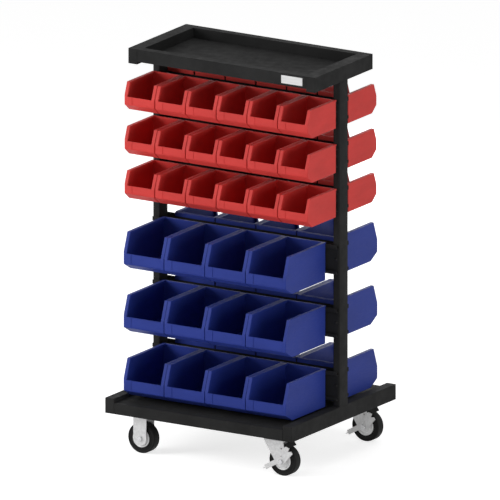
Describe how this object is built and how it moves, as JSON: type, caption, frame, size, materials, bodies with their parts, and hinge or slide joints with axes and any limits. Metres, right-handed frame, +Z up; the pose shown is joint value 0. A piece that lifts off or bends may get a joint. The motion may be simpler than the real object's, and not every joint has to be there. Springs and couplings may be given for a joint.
{
  "type": "double-sided mobile bin rack",
  "caption": "Mobile double-sided rack: two posts with rails of small red and large blue hang-on bins on both sides, a recessed top tray and a flat base deck on castors.",
  "frame": {"origin": "on the floor under the middle of the rack, midway between the castors", "axes": "+Z up, +X along the width towards the swivel castors, -Y towards the front"},
  "size_m": [0.7, 0.63, 1.3],
  "materials": {
    "frame_black": "satin black powder coat",
    "bin_red": "moulded polypropylene, satin",
    "bin_blue": "moulded polypropylene, satin",
    "castor_zinc": "zinc plated pressed steel",
    "bright_steel": "bright zinc",
    "hub_grey": "moulded light grey plastic",
    "tyre_black": "black rubber",
    "label_white": "blank satin plate"
  },
  "bodies": {
    "frame": {"base_deck": "frame_black", "castor_channels": "frame_black", "base_end_left": "frame_black", "base_end_right": "frame_black", "post_left": "frame_black", "post_right": "frame_black", "top_tray": "frame_black", "top_end_left": "frame_black", "top_end_right": "frame_black", "label_plate": "label_white", "front_red_rails": "frame_black", "front_blue_rails": "frame_black", "rear_red_rails": "frame_black", "rear_blue_rails": "frame_black", "rail_screws": "frame_black", "frame_bolts": "bright_steel", "castor_bolts": "bright_steel", "fixed_front_fork": "castor_zinc", "fixed_front_axle": "bright_steel", "fixed_rear_fork": "castor_zinc", "fixed_rear_axle": "bright_steel", "swivel_front_plate": "castor_zinc", "swivel_front_kingpin": "bright_steel", "swivel_rear_plate": "castor_zinc", "swivel_rear_kingpin": "bright_steel"},
    "fixed_front_wheel": {"fixed_front_hub": "hub_grey", "fixed_front_tyre": "tyre_black"},
    "swivel_front": {"swivel_front_fork": "castor_zinc", "swivel_front_axle": "bright_steel"},
    "swivel_front_wheel": {"swivel_front_hub": "hub_grey", "swivel_front_tyre": "tyre_black"},
    "brake_front": {"brake_lever_front": "castor_zinc", "brake_shoe_front": "frame_black"},
    "fixed_rear_wheel": {"fixed_rear_hub": "hub_grey", "fixed_rear_tyre": "tyre_black"},
    "swivel_rear": {"swivel_rear_fork": "castor_zinc", "swivel_rear_axle": "bright_steel"},
    "swivel_rear_wheel": {"swivel_rear_hub": "hub_grey", "swivel_rear_tyre": "tyre_black"},
    "brake_rear": {"brake_lever_rear": "castor_zinc", "brake_shoe_rear": "frame_black"},
    "front_red_row_1": {"front_red_row_1": "bin_red"},
    "front_red_bin_1": {"front_red_bin_1": "bin_red"},
    "rear_red_row_1": {"rear_red_row_1": "bin_red"},
    "front_blue_row_1": {"front_blue_row_1": "bin_blue"},
    "front_blue_bin_1": {"front_blue_bin_1": "bin_blue"},
    "rear_blue_row_1": {"rear_blue_row_1": "bin_blue"},
    "front_red_row_2": {"front_red_row_2": "bin_red"},
    "front_red_bin_2": {"front_red_bin_2": "bin_red"},
    "rear_red_row_2": {"rear_red_row_2": "bin_red"},
    "front_blue_row_2": {"front_blue_row_2": "bin_blue"},
    "front_blue_bin_2": {"front_blue_bin_2": "bin_blue"},
    "rear_blue_row_2": {"rear_blue_row_2": "bin_blue"},
    "front_red_row_3": {"front_red_row_3": "bin_red"},
    "front_red_bin_3": {"front_red_bin_3": "bin_red"},
    "rear_red_row_3": {"rear_red_row_3": "bin_red"},
    "front_blue_row_3": {"front_blue_row_3": "bin_blue"},
    "front_blue_bin_3": {"front_blue_bin_3": "bin_blue"},
    "rear_blue_row_3": {"rear_blue_row_3": "bin_blue"}
  },
  "joints": [
    {"name": "fixed_front_spin", "type": "hinge", "parent": "frame", "child": "fixed_front_wheel", "pos_m": [-0.2445, -0.25, 0.05], "axis": [0, 1, 0], "continuous": true},
    {"name": "swivel_front_turn", "type": "hinge", "parent": "frame", "child": "swivel_front", "pos_m": [0.2445, -0.25, 0.115], "axis": [0, 0, 1], "continuous": true},
    {"name": "swivel_front_spin", "type": "hinge", "parent": "swivel_front", "child": "swivel_front_wheel", "pos_m": [0.2845, -0.25, 0.05], "axis": [0, 1, 0], "continuous": true},
    {"name": "brake_front_tilt", "type": "hinge", "parent": "swivel_front", "child": "brake_front", "pos_m": [0.2845, -0.25, 0.05], "axis": [0, 1, 0], "range_deg": [0, 25]},
    {"name": "fixed_rear_spin", "type": "hinge", "parent": "frame", "child": "fixed_rear_wheel", "pos_m": [-0.2445, 0.25, 0.05], "axis": [0, 1, 0], "continuous": true},
    {"name": "swivel_rear_turn", "type": "hinge", "parent": "frame", "child": "swivel_rear", "pos_m": [0.2445, 0.25, 0.115], "axis": [0, 0, 1], "continuous": true},
    {"name": "swivel_rear_spin", "type": "hinge", "parent": "swivel_rear", "child": "swivel_rear_wheel", "pos_m": [0.2845, 0.25, 0.05], "axis": [0, 1, 0], "continuous": true},
    {"name": "brake_rear_tilt", "type": "hinge", "parent": "swivel_rear", "child": "brake_rear", "pos_m": [0.2845, 0.25, 0.05], "axis": [0, 1, 0], "range_deg": [0, 25]},
    {"name": "lift_front_red_row_1", "type": "slide", "parent": "frame", "child": "front_red_row_1", "axis": [0, 0, 1], "range_m": [0, 0.04]},
    {"name": "lift_front_red_bin_1", "type": "slide", "parent": "frame", "child": "front_red_bin_1", "axis": [0, 0, 1], "range_m": [0, 0.04]},
    {"name": "lift_rear_red_row_1", "type": "slide", "parent": "frame", "child": "rear_red_row_1", "axis": [0, 0, 1], "range_m": [0, 0.04]},
    {"name": "lift_front_blue_row_1", "type": "slide", "parent": "frame", "child": "front_blue_row_1", "axis": [0, 0, 1], "range_m": [0, 0.04]},
    {"name": "lift_front_blue_bin_1", "type": "slide", "parent": "frame", "child": "front_blue_bin_1", "axis": [0, 0, 1], "range_m": [0, 0.04]},
    {"name": "lift_rear_blue_row_1", "type": "slide", "parent": "frame", "child": "rear_blue_row_1", "axis": [0, 0, 1], "range_m": [0, 0.04]},
    {"name": "lift_front_red_row_2", "type": "slide", "parent": "frame", "child": "front_red_row_2", "axis": [0, 0, 1], "range_m": [0, 0.04]},
    {"name": "lift_front_red_bin_2", "type": "slide", "parent": "frame", "child": "front_red_bin_2", "axis": [0, 0, 1], "range_m": [0, 0.04]},
    {"name": "lift_rear_red_row_2", "type": "slide", "parent": "frame", "child": "rear_red_row_2", "axis": [0, 0, 1], "range_m": [0, 0.04]},
    {"name": "lift_front_blue_row_2", "type": "slide", "parent": "frame", "child": "front_blue_row_2", "axis": [0, 0, 1], "range_m": [0, 0.04]},
    {"name": "lift_front_blue_bin_2", "type": "slide", "parent": "frame", "child": "front_blue_bin_2", "axis": [0, 0, 1], "range_m": [0, 0.04]},
    {"name": "lift_rear_blue_row_2", "type": "slide", "parent": "frame", "child": "rear_blue_row_2", "axis": [0, 0, 1], "range_m": [0, 0.04]},
    {"name": "lift_front_red_row_3", "type": "slide", "parent": "frame", "child": "front_red_row_3", "axis": [0, 0, 1], "range_m": [0, 0.04]},
    {"name": "lift_front_red_bin_3", "type": "slide", "parent": "frame", "child": "front_red_bin_3", "axis": [0, 0, 1], "range_m": [0, 0.04]},
    {"name": "lift_rear_red_row_3", "type": "slide", "parent": "frame", "child": "rear_red_row_3", "axis": [0, 0, 1], "range_m": [0, 0.04]},
    {"name": "lift_front_blue_row_3", "type": "slide", "parent": "frame", "child": "front_blue_row_3", "axis": [0, 0, 1], "range_m": [0, 0.04]},
    {"name": "lift_front_blue_bin_3", "type": "slide", "parent": "frame", "child": "front_blue_bin_3", "axis": [0, 0, 1], "range_m": [0, 0.04]},
    {"name": "lift_rear_blue_row_3", "type": "slide", "parent": "frame", "child": "rear_blue_row_3", "axis": [0, 0, 1], "range_m": [0, 0.04]}
  ]
}
